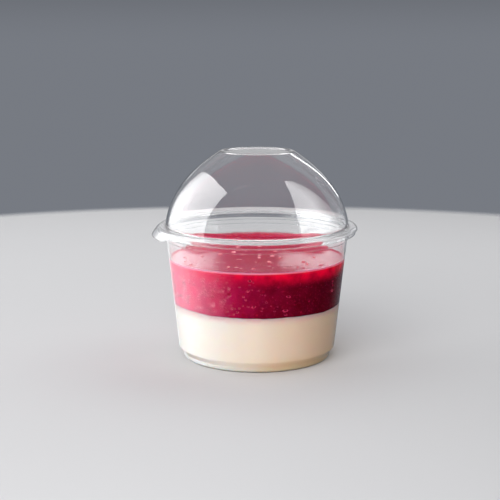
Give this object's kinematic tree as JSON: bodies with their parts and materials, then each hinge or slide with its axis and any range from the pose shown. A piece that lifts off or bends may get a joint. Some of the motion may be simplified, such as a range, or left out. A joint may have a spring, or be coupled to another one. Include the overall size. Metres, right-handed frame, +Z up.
{
  "type": "panna cotta pot",
  "caption": "Clear tapered dessert pot with a set cream layer under a red berry coulis, shut by a clear dome lid with a flat top, a round skirt and a pull tab.",
  "frame": {"origin": "centre of the flat base, on the surface that the pot stands on", "axes": "+Z up the pot's axis, -X towards the lid's pull tab, -Y towards the front"},
  "size_m": [0.0986, 0.0964, 0.0996],
  "materials": {
    "pot_plastic": "clear injection-moulded plastic, slightly milky, glossy",
    "lid_plastic": "clear glossy plastic",
    "set_cream": "smooth set cream, soft sheen",
    "berry_coulis": "wet red fruit sauce with fine seeds"
  },
  "bodies": {
    "root": {"pot": "pot_plastic", "dome_lid": "lid_plastic", "panna_cotta": "set_cream", "coulis": "berry_coulis"}
  },
  "joints": []
}
